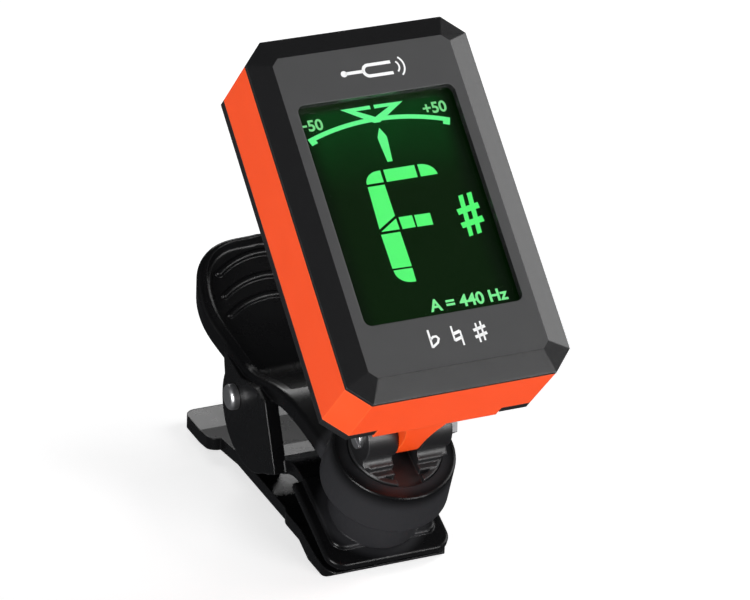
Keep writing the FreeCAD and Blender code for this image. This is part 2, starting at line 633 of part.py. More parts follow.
# ---- clip ----
def lower_arm():
    """Lower jaw, arched plate, two inner ears and the rear paddle."""
    t = LOWER_THICKNESS
    arch = LOWER_ARCH
    sweep = math.radians(116.6)
    on_round = (JAW_FRONT + JAW_ROUND * (1 + math.cos(sweep)), JAW_ROUND * (1 - math.sin(sweep)))
    profile = [(JAW_FRONT + JAW_ROUND, 0.0), (7.0, 0.0), (10.0, arch), (PIVOT_Y, arch), (41.0, 0.0), (ARM_LENGTH, 0.0),
               (ARM_LENGTH, t + 0.2), (41.0, t + 0.2), (PIVOT_Y, arch + t), (10.0, arch + t), (5.0, JAW_EDGE + 0.5),
               (JAW_FRONT + 0.6, JAW_EDGE), (on_round, (JAW_FRONT + JAW_ROUND, 0.0))]
    plate = side_prism(profile, -12, 12)
    jaw = rounded_plate(-JAW_HALF_WIDTH, JAW_HALF_WIDTH, JAW_FRONT, 17.0, 3.0, -1, 8)
    paddle = rounded_plate(-PADDLE_HALF_WIDTH, PADDLE_HALF_WIDTH, 37.2, ARM_LENGTH, 1.6, -1, 8)
    waist = block(-PLATE_HALF_WIDTH, PLATE_HALF_WIDTH, 12.0, 42.0, -1, 8)
    plate = plate.common(join(jaw, waist, paddle))
    ear = side_prism([(PIVOT_Y - 7.3, arch + 1.0), (PIVOT_Y - EAR_ROUND, PIVOT_Z),
                      ((PIVOT_Y, PIVOT_Z + EAR_ROUND), (PIVOT_Y + EAR_ROUND, PIVOT_Z)), (PIVOT_Y + 5.2, 2.0)],
                     INNER_EAR_X - EAR_THICKNESS, INNER_EAR_X)
    body = join(plate, *both_sides(ear))
    return body.cut([rod_x(PIVOT_RADIUS + PIN_GAP, -12, 12, PIVOT_Y, PIVOT_Z), lower_pad_room(0.03)])


def lower_pad_room(gap):
    """The lower pad's shape, grown by gap where it sits in the jaw."""
    x = JAW_HALF_WIDTH - 1.6 + gap
    y0, y1 = JAW_FRONT + 1.4, 5.0
    rise = 0.5 / (5.0 - JAW_FRONT - 0.6)
    z0 = JAW_EDGE - PAD_SINK + rise * (y0 - JAW_FRONT - 0.6)
    z1 = z0 + rise * (y1 - y0)
    return side_prism([(y0 - gap, z0 - gap), (y1 + gap, z1 - gap), (y1 + gap, z1 + PAD_THICKNESS),
                       (y0 - gap, z0 + PAD_THICKNESS)], -x, x)


def lower_jaw_pad():
    """Rubber strip let into the lower jaw."""
    return lower_pad_room(0.0)


def place_on_jaw(shape):
    """Tilt a shape built flat about the upper jaw's lower front edge."""
    moved = shape.copy()
    moved.Placement = Placement(Vector(0, JAW_FRONT, JAW_TIP_Z), Rotation(Vector(1, 0, 0), COLLAR_TILT))
    return moved


def upper_jaw():
    """Stepped jaw plate: a wide flange with a smaller plate on it."""
    long = 14.0
    flange = rounded_plate(-JAW_HALF_WIDTH, JAW_HALF_WIDTH, 0, long + 4, 2.4, 0, JAW_FLANGE)
    flange = round_top(flange, JAW_FLANGE, 0.35)
    x = JAW_HALF_WIDTH - STEP_INSET
    step_top = JAW_FLANGE + JAW_STEP
    step = round_top(rounded_plate(-x, x, STEP_SETBACK, long + 4, 1.8, 0, step_top), step_top, 0.35)
    jaw = join(flange, step).common(block(-12, 12, -1, long, -1, 4))
    return place_on_jaw(jaw.cut(upper_pad_room(0.03)))


def upper_pad_room(gap):
    """The upper pad's shape, flat, grown by gap where it sits in the jaw."""
    x = JAW_HALF_WIDTH - 1.6 + gap
    return block(-x, x, 0.9 - gap, 12.0 + gap, PAD_SINK - PAD_THICKNESS, PAD_SINK + gap)


def upper_jaw_pad():
    """Rubber strip let into the upper jaw's underside."""
    return place_on_jaw(upper_pad_room(0.0))


def arm_curve(depth, y):
    """The point at a distance along the arm on the curve a depth below its top, and the slope there in radians."""
    curve = offset_curve(DECK_TOP, depth, 0.0)
    low, high = curve.FirstParameter, curve.LastParameter
    for _ in range(40):
        middle = (low + high) / 2
        if curve.value(middle).y < y:
            low = middle
        else:
            high = middle
    along = curve.tangent(low)[0]
    return curve.value(low), math.atan2(along.z, along.y)


def long_top_edges(shape):
    """The long edges that lie on the arm's top curve."""
    found = []
    for edge in shape.Edges:
        middle = edge.valueAt((edge.FirstParameter + edge.LastParameter) / 2)
        if edge.Length > 0.7 * ARM_LENGTH and abs(arm_curve(0.0, middle.y)[0].z - middle.z) < 0.01:
            found.append(edge)
    return found


def dished_deck():
    """The arched plate from the collar to the finger end, dished inside a rounded rim."""
    deck = curve_strip(DECK_TOP, DECK_THICKNESS, -12, 12).common(plan_prism(DECK_OUTLINE, 0, 60))
    deck = deck.makeFillet(RIM_ROUND, long_top_edges(deck))
    dish = space_above(DECK_TOP, DISH_DEPTH, 60.0, -12, 12).common(plan_prism(DISH_OUTLINE, 0, 60))
    floor = [e for e in dish.Edges if 0.4 * ARM_LENGTH < e.Length < ARM_LENGTH and e.BoundBox.ZMax < 59.0]
    dish = dish.makeFillet(DISH_SWEEP, floor)
    return deck.cut(dish)


def finger_ridge(y):
    """A raised round bead across the paddle, bowed towards its end, with ball ends."""
    crest, slope = arm_curve(DISH_DEPTH, y)
    half = math.asin(RIDGE_REACH / RIDGE_SWEEP)
    bead = Part.makeTorus(RIDGE_SWEEP, RIDGE_RADIUS, Vector(), Vector(0, 0, 1), 0, 360, math.degrees(2 * half))
    bead.rotate(Vector(), Vector(0, 0, 1), 90 - math.degrees(half))
    ends = [Part.makeSphere(RIDGE_RADIUS, Vector(s * RIDGE_REACH, RIDGE_SWEEP * math.cos(half), 0)) for s in (-1, 1)]
    ridge = join(bead, *ends)
    ridge.translate(Vector(0, -RIDGE_SWEEP, 0))
    ridge.rotate(Vector(), Vector(1, 0, 0), math.degrees(slope))
    ridge.translate(crest)
    return ridge


def upper_arm():
    """Upper jaw, pedestal, collar, rails, outer ears and the dished paddle."""
    last = ARM_LENGTH - RIDGE_SETBACK
    ridges = [finger_ridge(last - i * RIDGE_SPACING) for i in range(3)]
    deck = join(dished_deck(), *ridges)
    lobe = side_prism([(PIVOT_Y - 9.6, PIVOT_Z + 3.9), (PIVOT_Y - 13.4, PIVOT_Z - 4.9), (PIVOT_Y - 9.3, PIVOT_Z - 6.8),
                       ((PIVOT_Y - 2.7, PIVOT_Z - 8.4), (PIVOT_Y + 2.3, PIVOT_Z - 6.3)),
                       ((PIVOT_Y + 4.3, PIVOT_Z - 2.3), (PIVOT_Y + 3.7, PIVOT_Z + 1.6)),
                       (PIVOT_Y + 4.3, PIVOT_Z + 4.9), (PIVOT_Y - 1.3, PIVOT_Z + 3.5), (PIVOT_Y - 6.3, PIVOT_Z + 4.3)],
                      OUTER_EAR_X - EAR_THICKNESS, OUTER_EAR_X)
    bridge = side_prism([(12.0, 7.9), (12.4, 8.6), ((15.6, 9.2), (PIVOT_Y - 12.3, PIVOT_Z - 3.7)),
                         (PIVOT_Y - 8.8, PIVOT_Z - 5.1), (PIVOT_Y - 8.8, PIVOT_Z - 6.8),
                         (PIVOT_Y - 12.9, PIVOT_Z - 5.4), ((15.6, 7.5), (12.4, 7.4))], -7.2, 7.2)
    body = join(deck, upper_jaw(), bridge, *both_sides(lobe))
    body = body.cut(collar_space())
    body = join(body, place_on_collar(collar_outside()))
    body = body.cut(place_on_collar(collar_inside()))
    return body.cut(rod_x(PIVOT_RADIUS + PIN_GAP, -12, 12, PIVOT_Y, PIVOT_Z))


def collar_space():
    """Room inside the collar's outline, cleared before the collar is added."""
    return place_on_collar(disc(COLLAR_BASE_RADIUS - 0.5, -COLLAR_HEIGHT, 12))


def collar_outside():
    """Collar and the narrower pedestal under it."""
    collar = Part.makeCone(COLLAR_BASE_RADIUS, COLLAR_RADIUS, COLLAR_HEIGHT, Vector(0, 0, -COLLAR_HEIGHT))
    collar = round_top(collar, 0.0, 0.35)
    return join(collar, disc(PEDESTAL_RADIUS, -13.0, -COLLAR_HEIGHT + 0.1))


def collar_inside():
    """Bore for the disc, hole for its screw and the access bore below."""
    return join(disc(DISC_RADIUS + DISC_GAP, -COLLAR_HEIGHT + COLLAR_FLOOR, 2),
                disc(SWIVEL_SCREW_RADIUS + 0.15, -COLLAR_HEIGHT - 1, 1), disc(PEDESTAL_BORE, -16, -COLLAR_HEIGHT))


def pivot_pin():
    """Rivet through the four ears."""
    outer = OUTER_EAR_X + 0.05
    pin = rod_x(PIVOT_RADIUS, -outer - 0.2, outer + 0.2, PIVOT_Y, PIVOT_Z)
    heads = []
    for side in (-1, 1):
        start = side * outer
        low, high = sorted((start, start + side * RIVET_HEAD))
        head = rod_x(RIVET_RADIUS, low, high, PIVOT_Y, PIVOT_Z)
        crown = [e for e in head.Edges if abs(e.BoundBox.Center.x) > outer + RIVET_HEAD - 0.01]
        heads.append(head.makeFillet(0.6, crown))
    return join(pin, *heads)


def touch_angle(target, turn):
    """Angle round the pivot at which a straight line to a (y, z) target leaves the coil's middle circle."""
    mean = SPRING_INNER_RADIUS + SPRING_WIRE / 2
    y, z = target[0] - PIVOT_Y, target[1] - PIVOT_Z
    return math.atan2(z, y) + turn * math.acos(mean / math.hypot(y, z))


def torsion_spring():
    """Coil round the rivet with one leg on the lower plate and one under the upper paddle."""
    wire = SPRING_WIRE / 2
    mean = SPRING_INNER_RADIUS + wire
    pitch = SPRING_WIRE * 1.06
    low_target = (PIVOT_Y + 8.7, LOWER_ARCH + LOWER_THICKNESS - 0.3)
    high_target = (PIVOT_Y + 6.2, PIVOT_Z + 3.3)
    low_angle = touch_angle(low_target, -1)
    high_angle = touch_angle(high_target, 1)
    turns = SPRING_TURNS + (low_angle - high_angle) % (2 * math.pi) / (2 * math.pi)
    length = pitch * turns
    helix = Part.makeHelix(pitch, length, mean, 0, True)
    start = helix.Edges[0].valueAt(helix.Edges[0].FirstParameter)
    profile = Part.Wire([Part.makeCircle(wire, start, Vector(0, 1, 0))])
    coil = Part.Wire(helix.Edges).makePipeShell([profile], True, True)
    coil.rotate(Vector(), Vector(0, 1, 0), 90)
    coil.rotate(Vector(), Vector(1, 0, 0), math.degrees(low_angle) + 90)
    coil.translate(Vector(-length / 2, PIVOT_Y, PIVOT_Z))
    legs = []
    for side, angle, target in ((-1, low_angle, low_target), (1, high_angle, high_target)):
        foot = Vector(side * length / 2, PIVOT_Y + mean * math.cos(angle), PIVOT_Z + mean * math.sin(angle))
        run = Vector(side * length / 2, *target) - foot
        legs.append(join(Part.makeCylinder(wire, run.Length, foot, run), Part.makeSphere(wire, foot)))
    return join(coil, *legs)


# ---- placing ----
def place_on_collar(shape):
    """Move a shape from the collar's own frame to the clip's."""
    moved = shape.copy()
    moved.Placement = Placement(Vector(0, COLLAR_RIM_Y, COLLAR_RIM_Z), Rotation(Vector(1, 0, 0), COLLAR_TILT))
    return moved


def tilt_point():
    """Where the tilt axle lies in the clip's frame."""
    a = math.radians(COLLAR_TILT)
    return Vector(0, COLLAR_RIM_Y - TILT_HEIGHT * math.sin(a), COLLAR_RIM_Z + TILT_HEIGHT * math.cos(a))


def place_head(shape):
    """Lean a flat head piece back about the tilt axle."""
    turn = Rotation(Vector(1, 0, 0), LEAN)
    shift = tilt_point() - turn.multVec(Vector(0, TILT_Y, TILT_Z))
    moved = shape.copy()
    moved.Placement = Placement(shift, turn)
    return moved


HEAD_PIECES = [front_bezel, display_window, display_gasket, lcd_panel, display_frame, backlight_panel,
               backlight_leds, zebra_strip, circuit_board, controller_chip, timing_crystal, power_switch,
               piezo_pickup, cell_holder, coin_cell, cell_contact_positive, cell_contact_negative, mid_housing,
               back_cover, battery_door, power_button, case_screws]
SWIVEL_PIECES = {"swivel_turntable": clevis, "friction_ring": friction_ring, "swivel_washer": swivel_washer,
                 "swivel_screw": swivel_screw, "tilt_screw": tilt_screw, "tilt_nut": tilt_nut}
CLIP_PIECES = [lower_arm, lower_jaw_pad, upper_arm, upper_jaw_pad, pivot_pin, torsion_spring]


def build():
    """Every piece in place, by name, with the origin under the middle of the whole tuner."""
    pieces = {make.__name__: place_head(make()) for make in HEAD_PIECES}
    pieces.update({name: place_on_collar(make()) for name, make in SWIVEL_PIECES.items()})
    pieces.update({make.__name__: make() for make in CLIP_PIECES})
    whole = Part.makeCompound(list(pieces.values())).BoundBox
    shift = Vector(-whole.Center.x, -whole.Center.y, -whole.ZMin)
    for shape in pieces.values():
        shape.translate(shift)
    return pieces, shift


if __name__ == "__main__":
    os.makedirs("parts", exist_ok=True)
    pieces, shift = build()
    for name, shape in pieces.items():
        shape.exportStep("parts/" + name + ".step")
        print(name, len(shape.Solids), round(shape.Volume, 2), shape.isValid())
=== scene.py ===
"""Looks of a clip-on tuner: a display head on a tilt and swivel hinge, on a sprung clip."""

import math

import bmesh
import bpy
from mathutils import Matrix, Vector


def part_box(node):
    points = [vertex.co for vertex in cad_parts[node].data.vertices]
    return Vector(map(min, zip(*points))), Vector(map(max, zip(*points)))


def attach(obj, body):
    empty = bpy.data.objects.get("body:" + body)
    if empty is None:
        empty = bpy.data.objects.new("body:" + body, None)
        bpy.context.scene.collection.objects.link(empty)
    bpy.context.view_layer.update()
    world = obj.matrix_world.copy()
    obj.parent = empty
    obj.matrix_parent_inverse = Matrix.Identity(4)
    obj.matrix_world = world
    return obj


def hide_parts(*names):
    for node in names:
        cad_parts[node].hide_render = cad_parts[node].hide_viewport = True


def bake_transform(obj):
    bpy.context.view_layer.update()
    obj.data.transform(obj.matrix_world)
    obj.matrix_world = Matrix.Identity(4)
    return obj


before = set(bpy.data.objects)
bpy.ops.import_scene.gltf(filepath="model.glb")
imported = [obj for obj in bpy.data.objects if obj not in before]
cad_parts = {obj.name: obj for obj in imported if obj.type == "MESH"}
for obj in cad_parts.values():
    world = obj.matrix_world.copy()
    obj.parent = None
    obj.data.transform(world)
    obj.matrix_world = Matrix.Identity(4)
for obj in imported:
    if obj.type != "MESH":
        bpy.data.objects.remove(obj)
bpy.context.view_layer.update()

MM = 0.001
LEAN = math.radians(41.2)  # the head leans back from flat
NUMBER_FONT_CAP = 0.729  # cap height of the built-in font, as a share of its size


# ---- places ----
def middle(node):
    """The middle of a CAD node's box."""
    low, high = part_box(node)
    return (low + high) / 2


ACROSS = Vector((1, 0, 0))
UP_FACE = Vector((0, math.cos(LEAN), math.sin(LEAN)))
OUT_OF_FACE = Vector((0, -math.sin(LEAN), math.cos(LEAN)))
FACE_CENTRE = middle("display_window")
GLASS_FRONT = -0.8  # the display glass, measured from the middle of the window, in mm
BEZEL_FRONT = 1.5


def face_frame(height):
    """Face coordinates in mm (across, up, out) to the model's frame,
    at a height over the window's middle."""
    axes = Matrix((ACROSS, UP_FACE, OUT_OF_FACE)).transposed().to_4x4()
    return (
        Matrix.Translation(FACE_CENTRE + OUT_OF_FACE * height * MM)
        @ axes
        @ Matrix.Scale(MM, 4)
    )


# ---- node trees ----
def new_group(name, inputs, outputs):
    """An empty shader node group with float or vector sockets."""
    tree = bpy.data.node_groups.new(name, "ShaderNodeTree")
    kinds = {float: "NodeSocketFloat", tuple: "NodeSocketVector"}
    for label, value in inputs.items():
        socket = tree.interface.new_socket(
            label, in_out="INPUT", socket_type=kinds[type(value)]
        )
        socket.default_value = value
    for label, kind in outputs.items():
        tree.interface.new_socket(
            label, in_out="OUTPUT", socket_type="NodeSocket" + kind
        )
    return (
        tree,
        tree.nodes.new("NodeGroupInput"),
        tree.nodes.new("NodeGroupOutput"),
    )


def add(tree, kind, values=None, **settings):
    """A node with its settings, its input sockets set or linked by name or number."""
    node = tree.nodes.new("ShaderNode" + kind)
    for key, value in settings.items():
        setattr(node, key, value)
    for key, value in (values or {}).items():
        if isinstance(value, bpy.types.NodeSocket):
            tree.links.new(value, node.inputs[key])
        else:
            node.inputs[key].default_value = value
    return node


def sum_of(tree, operation, a, b=0.0, c=0.0, clamp=False):
    """One math node's output."""
    return add(
        tree,
        "Math",
        {0: a, 1: b, 2: c},
        operation=operation,
        use_clamp=clamp,
    ).outputs[0]


def grain_group():
    """Fine spark-eroded mould texture: small pits and bumps with a little waviness."""
    tree, ins, outs = new_group(
        "moulded_grain",
        {"Size": 0.12, "Waviness": 0.2},
        {"Height": "Float", "Mottle": "Float"},
    )
    spot = add(tree, "TexCoord").outputs["Object"]
    fine = sum_of(tree, "DIVIDE", 1000.0, ins.outputs["Size"])
    pits = add(
        tree,
        "TexNoise",
        {"Vector": spot, "Scale": fine, "Detail": 3.0, "Roughness": 0.6},
    )
    waves = add(tree, "TexNoise", {"Vector": spot, "Scale": 380.0, "Detail": 2.0})
    wavy = sum_of(tree, "MULTIPLY", waves.outputs[0], ins.outputs["Waviness"])
    tree.links.new(
        sum_of(tree, "ADD", pits.outputs[0], wavy), outs.inputs["Height"]
    )
    mottle = add(tree, "TexNoise", {"Vector": spot, "Scale": 240.0, "Detail": 5.0})
    tree.links.new(mottle.outputs[0], outs.inputs["Mottle"])
    return tree


def edge_group():
    """How near a point is to a sharp edge, broken up as handling polishes it,
    with the rounded normal there."""
    tree, ins, outs = new_group(
        "worn_edge",
        {"Radius": 0.00025, "Break up": 0.5},
        {"Edge": "Float", "Normal": "Vector"},
    )
    rounded = add(tree, "Bevel", {"Radius": ins.outputs["Radius"]}, samples=6)
    flat = add(tree, "NewGeometry")
    likeness = add(
        tree,
        "VectorMath",
        {0: rounded.outputs[0], 1: flat.outputs["Normal"]},
        operation="DOT_PRODUCT",
    ).outputs["Value"]
    bent = add(
        tree,
        "MapRange",
        {"Value": likeness, "From Min": 0.995, "From Max": 0.86},
    ).outputs[0]
    spot = add(tree, "TexCoord").outputs["Object"]
    patches = add(tree, "TexNoise", {"Vector": spot, "Scale": 900.0, "Detail": 4.0})
    kept = sum_of(
        tree,
        "SUBTRACT",
        1.0,
        sum_of(tree, "MULTIPLY", patches.outputs[0], ins.outputs["Break up"]),
    )
    tree.links.new(
        sum_of(tree, "MULTIPLY", bent, kept, clamp=True), outs.inputs["Edge"]
    )
    tree.links.new(rounded.outputs[0], outs.inputs["Normal"])
    return tree


def brushed_group():
    """Fine lines turned or drawn along one direction."""
    tree, ins, outs = new_group(
        "drawn_lines",
        {"Stretch": (1.0, 1.0, 1.0)},
        {"Lines": "Float"},
    )
    spot = add(tree, "TexCoord").outputs["Object"]
    pulled = add(
        tree, "VectorMath", {0: spot, 1: ins.outputs["Stretch"]}, operation="MULTIPLY"
    )
    lines = add(
        tree,
        "TexNoise",
        {"Vector": pulled.outputs[0], "Scale": 2600.0, "Detail": 4.0},
    )
    tree.links.new(lines.outputs[0], outs.inputs["Lines"])
    return tree


GRAIN, EDGE, LINES = grain_group(), edge_group(), brushed_group()


def place(tree, group, values=None):
    """One node group placed in a material."""
    return add(tree, "Group", values, node_tree=group)


def new_material(name):
    """A material with an empty tree, its Principled shader and its output."""
    made = bpy.data.materials.new(name)
    made.use_nodes = True
    tree = made.node_tree
    tree.nodes.clear()
    shader = tree.nodes.new("ShaderNodeBsdfPrincipled")
    out = tree.nodes.new("ShaderNodeOutputMaterial")
    tree.links.new(shader.outputs[0], out.inputs["Surface"])
    return made, tree, shader


def between(tree, amount, low, high):
    """A number that goes from low to high with a mask."""
    return add(
        tree, "MapRange", {"Value": amount, "To Min": low, "To Max": high}
    ).outputs[0]


def tint(tree, amount, low, high):
    """A colour that goes from low to high with a mask."""
    mix = add(tree, "Mix", {"Factor": amount}, data_type="RGBA")
    mix.inputs[6].default_value = (*low, 1)
    mix.inputs[7].default_value = (*high, 1)
    return mix.outputs[2]


def plastic(
    name,
    colour,
    deep,
    edge,
    roughness,
    grain=0.12,
    depth=0.00002,
    waviness=0.2,
    radius=0.00025,
    specular=0.5,
    satin_and_sheen=None,
):
    """Moulded plastic or rubber: colour mottles towards deep, edges polish towards edge.

    The satin argument gives the middle, reach and colour of a round area with a duller skin
    and a lighter colour, the lighter colour being a painted sheen."""
    made, tree, shader = new_material(name)
    moulded = place(tree, GRAIN, {"Size": grain, "Waviness": waviness})
    worn = place(tree, EDGE, {"Radius": radius})
    body = tint(tree, moulded.outputs["Mottle"], deep, colour)
    mix = add(
        tree,
        "Mix",
        {"Factor": worn.outputs["Edge"], 6: body},
        data_type="RGBA",
    )
    mix.inputs[7].default_value = (*edge, 1)
    low, high = roughness
    rough = between(tree, moulded.outputs["Mottle"], low, high)
    skin = mix.outputs[2]
    if satin_and_sheen:
        centre, reach, pale = satin_and_sheen
        away = add(
            tree,
            "VectorMath",
            {0: add(tree, "TexCoord").outputs["Object"], 1: centre},
            operation="DISTANCE",
        ).outputs["Value"]
        dull_and_sheen = add(
            tree,
            "MapRange",
            {"Value": away, "From Min": reach, "From Max": reach * 0.88},
            interpolation_type="SMOOTHSTEP",
        ).outputs[0]
        # Painted sheen: the colour is lightened towards pale inside the round area; the rise
        # in roughness there is a real duller skin.
        over = add(tree, "Mix", {"Factor": dull_and_sheen, 6: skin}, data_type="RGBA")
        over.inputs[7].default_value = (*pale, 1)
        skin = over.outputs[2]
        rough = sum_of(tree, "MULTIPLY_ADD", dull_and_sheen, 0.12, rough)
    tree.links.new(skin, shader.inputs["Base Color"])
    smooth = sum_of(tree, "MULTIPLY", worn.outputs["Edge"], 0.12)
    tree.links.new(
        sum_of(tree, "SUBTRACT", rough, smooth, clamp=True), shader.inputs["Roughness"]
    )
    bump = add(
        tree,
        "Bump",
        {
            "Distance": depth,
            "Height": moulded.outputs["Height"],
            "Normal": worn.outputs["Normal"],
        },
    )
    tree.links.new(bump.outputs[0], shader.inputs["Normal"])
    shader.inputs["Specular IOR Level"].default_value = specular
    return made


def bezel_plastic():
    """The bezel: a duller grey on its flat face; its bevels are glossier and carry a painted
    shade that makes them nearly black.
    """
    made, tree, shader = new_material("bezel_grey")
    moulded = place(tree, GRAIN, {"Size": 0.1})
    worn = place(tree, EDGE, {"Radius": 0.0002})
    facing = add(
        tree,
        "VectorMath",
        {0: add(tree, "TexCoord").outputs["Normal"], 1: OUT_OF_FACE},
        operation="DOT_PRODUCT",
    ).outputs["Value"]
    # flat is 1 on the face and 0 on the bevels; it sets both the painted bevel shade and the
    # roughness.
    flat = add(
        tree,
        "MapRange",
        {"Value": facing, "From Min": 0.955, "From Max": 0.985},
        interpolation_type="SMOOTHSTEP",
    ).outputs[0]
    face = tint(
        tree, moulded.outputs["Mottle"], (0.052, 0.052, 0.053), (0.060, 0.060, 0.061)
    )
    # Painted shade: the bevels get a near-black colour where the flat face is grey.
    painted_bevel_shade = tint(
        tree, moulded.outputs["Mottle"], (0.009, 0.009, 0.0095), (0.011, 0.011, 0.0115)
    )
    body = add(tree, "Mix", {"Factor": flat, 6: painted_bevel_shade, 7: face}, data_type="RGBA")
    mix = add(
        tree,
        "Mix",
        {
            "Factor": sum_of(tree, "MULTIPLY", worn.outputs["Edge"], 0.5),
            6: body.outputs[2],
        },
        data_type="RGBA",
    )
    mix.inputs[7].default_value = (0.07, 0.07, 0.072, 1)
    tree.links.new(mix.outputs[2], shader.inputs["Base Color"])
    tree.links.new(between(tree, flat, 0.27, 0.42), shader.inputs["Roughness"])
    bump = add(
        tree,
        "Bump",
        {
            "Distance": 0.000012,
            "Height": moulded.outputs["Height"],
            "Normal": worn.outputs["Normal"],
        },
    )
    tree.links.new(bump.outputs[0], shader.inputs["Normal"])
    shader.inputs["Specular IOR Level"].default_value = 0.5
    return made


def metal(name, colour, deep, roughness, stretch=(1.0, 1.0, 1.0), radius=0.00012):
    """Drawn or turned metal with fine lines and duller patches."""
    made, tree, shader = new_material(name)
    lines = place(tree, LINES, {"Stretch": stretch})
    moulded = place(tree, GRAIN, {"Size": 0.5})
    worn = place(tree, EDGE, {"Radius": radius})
    tree.links.new(
        tint(tree, moulded.outputs["Mottle"], deep, colour),
        shader.inputs["Base Color"],
    )
    low, high = roughness
    tree.links.new(
        between(tree, lines.outputs["Lines"], low, high), shader.inputs["Roughness"]
    )
    bump = add(
        tree,
        "Bump",
        {
            "Distance": 0.000004,
            "Height": lines.outputs["Lines"],
            "Normal": worn.outputs["Normal"],
        },
    )
    tree.links.new(bump.outputs[0], shader.inputs["Normal"])
    shader.inputs["Metallic"].default_value = 1.0
    return made


def clear_window():
    """Clear acrylic lens with the faintest wipe marks."""
    made, tree, shader = new_material("clear_window")
    lines = place(tree, LINES, {"Stretch": (0.05, 1.0, 1.0)})
    tree.links.new(
        between(tree, lines.outputs["Lines"], 0.0, 0.05), shader.inputs["Roughness"]
    )
    shader.inputs["Base Color"].default_value = (0.97, 0.98, 0.98, 1)
    shader.inputs["Transmission Weight"].default_value = 1.0
    shader.inputs["IOR"].default_value = 1.49
    shader.inputs["Specular IOR Level"].default_value = 0.03
    return made


def display_ground():
    """Dark green negative display: lit faintly from the top edge, dying out at the borders,
    with a painted shadow along its very top.
    """
    made, tree, shader = new_material("display_ground")
    spot = add(tree, "TexCoord").outputs["Object"]
    local = add(
        tree,
        "Mapping",
        {"Vector": spot, "Location": FACE_CENTRE, "Rotation": (LEAN, 0, 0)},
        vector_type="TEXTURE",
    )
    axes = add(tree, "SeparateXYZ", {0: local.outputs[0]})
    side = sum_of(tree, "ABSOLUTE", axes.outputs[0])
    inner = add(
        tree,
        "MapRange",
        {"Value": side, "From Min": 0.0105, "From Max": 0.0075},
        interpolation_type="SMOOTHSTEP",
    ).outputs[0]
    high = add(
        tree,
        "MapRange",
        {"Value": axes.outputs[1], "From Min": 0.002, "From Max": 0.0135},
        interpolation_type="SMOOTHSTEP",
    ).outputs[0]
    # Painted shadow: the glow dies out in a thin band along the top, where the window's recess
    # shades the display.
    clear_of_painted_top_shadow = add(
        tree,
        "MapRange",
        {"Value": axes.outputs[1], "From Min": 0.0149, "From Max": 0.0138},
        interpolation_type="SMOOTHSTEP",
    ).outputs[0]
    cloud = add(tree, "TexNoise", {"Vector": spot, "Scale": 220.0, "Detail": 2.0})
    lit = sum_of(tree, "MULTIPLY", sum_of(tree, "MULTIPLY", high, clear_of_painted_top_shadow), inner)
    patchy = sum_of(
        tree, "MULTIPLY", lit, between(tree, cloud.outputs[0], 0.5, 1.15)
    )
    base = tint(tree, inner, (0.0004, 0.0050, 0.0002), (0.0012, 0.0120, 0.0005))
    mix = add(tree, "Mix", {"Factor": patchy, 6: base}, data_type="RGBA")
    mix.inputs[7].default_value = (0.001, 0.046, 0.006, 1)
    tree.links.new(mix.outputs[2], shader.inputs["Emission Color"])
    shader.inputs["Emission Strength"].default_value = 1.0
    shader.inputs["Specular IOR Level"].default_value = 0.1
    moulded = place(tree, GRAIN, {"Size": 0.3})
    tree.links.new(
        between(tree, moulded.outputs["Mottle"], 0.2, 0.3), shader.inputs["Roughness"]
    )
    tree.links.new(
        tint(
            tree,
            moulded.outputs["Mottle"],
            (0.0003, 0.0010, 0.0002),
            (0.0005, 0.0015, 0.0003),
        ),
        shader.inputs["Base Color"],
    )
    return made


def lit_segment(name, colour, pale):
    """A lit display segment: even green light, paler where the backlight is near."""
    made, tree, shader = new_material(name)
    spot = add(tree, "TexCoord").outputs["Object"]
    local = add(
        tree,
        "Mapping",
        {"Vector": spot, "Location": FACE_CENTRE, "Rotation": (LEAN, 0, 0)},
        vector_type="TEXTURE",
    )
    axes = add(tree, "SeparateXYZ", {0: local.outputs[0]})
    high = add(
        tree,
        "MapRange",
        {"Value": axes.outputs[1], "From Min": 0.004, "From Max": 0.014},
    ).outputs[0]
    cloud = add(tree, "TexNoise", {"Vector": spot, "Scale": 700.0, "Detail": 3.0})
    amount = sum_of(
        tree, "MULTIPLY_ADD", cloud.outputs[0], 0.25, high, clamp=True
    )
    tree.links.new(tint(tree, amount, colour, pale), shader.inputs["Emission Color"])
    shader.inputs["Emission Strength"].default_value = 1.0
    shader.inputs["Base Color"].default_value = (0.01, 0.05, 0.01, 1)
    tree.links.new(
        between(tree, cloud.outputs[0], 0.35, 0.5), shader.inputs["Roughness"]
    )
    return made


def board_green():
    """Solder resist over faint copper traces."""
    made, tree, shader = new_material("board_green")
    spot = add(tree, "TexCoord").outputs["Object"]
    traces = add(
        tree,
        "TexVoronoi",
        {"Vector": spot, "Scale": 900.0},
        feature="DISTANCE_TO_EDGE",
        distance="EUCLIDEAN",
    )
    line = add(
        tree,
        "MapRange",
        {"Value": traces.outputs["Distance"], "From Min": 0.06, "From Max": 0.09},
    ).outputs[0]
    tree.links.new(
        tint(tree, line, (0.03, 0.16, 0.07), (0.008, 0.07, 0.028)),
        shader.inputs["Base Color"],
    )
    bump = add(tree, "Bump", {"Distance": 0.00003, "Height": line}, invert=True)
    tree.links.new(bump.outputs[0], shader.inputs["Normal"])
    tree.links.new(between(tree, line, 0.25, 0.4), shader.inputs["Roughness"])
    return made


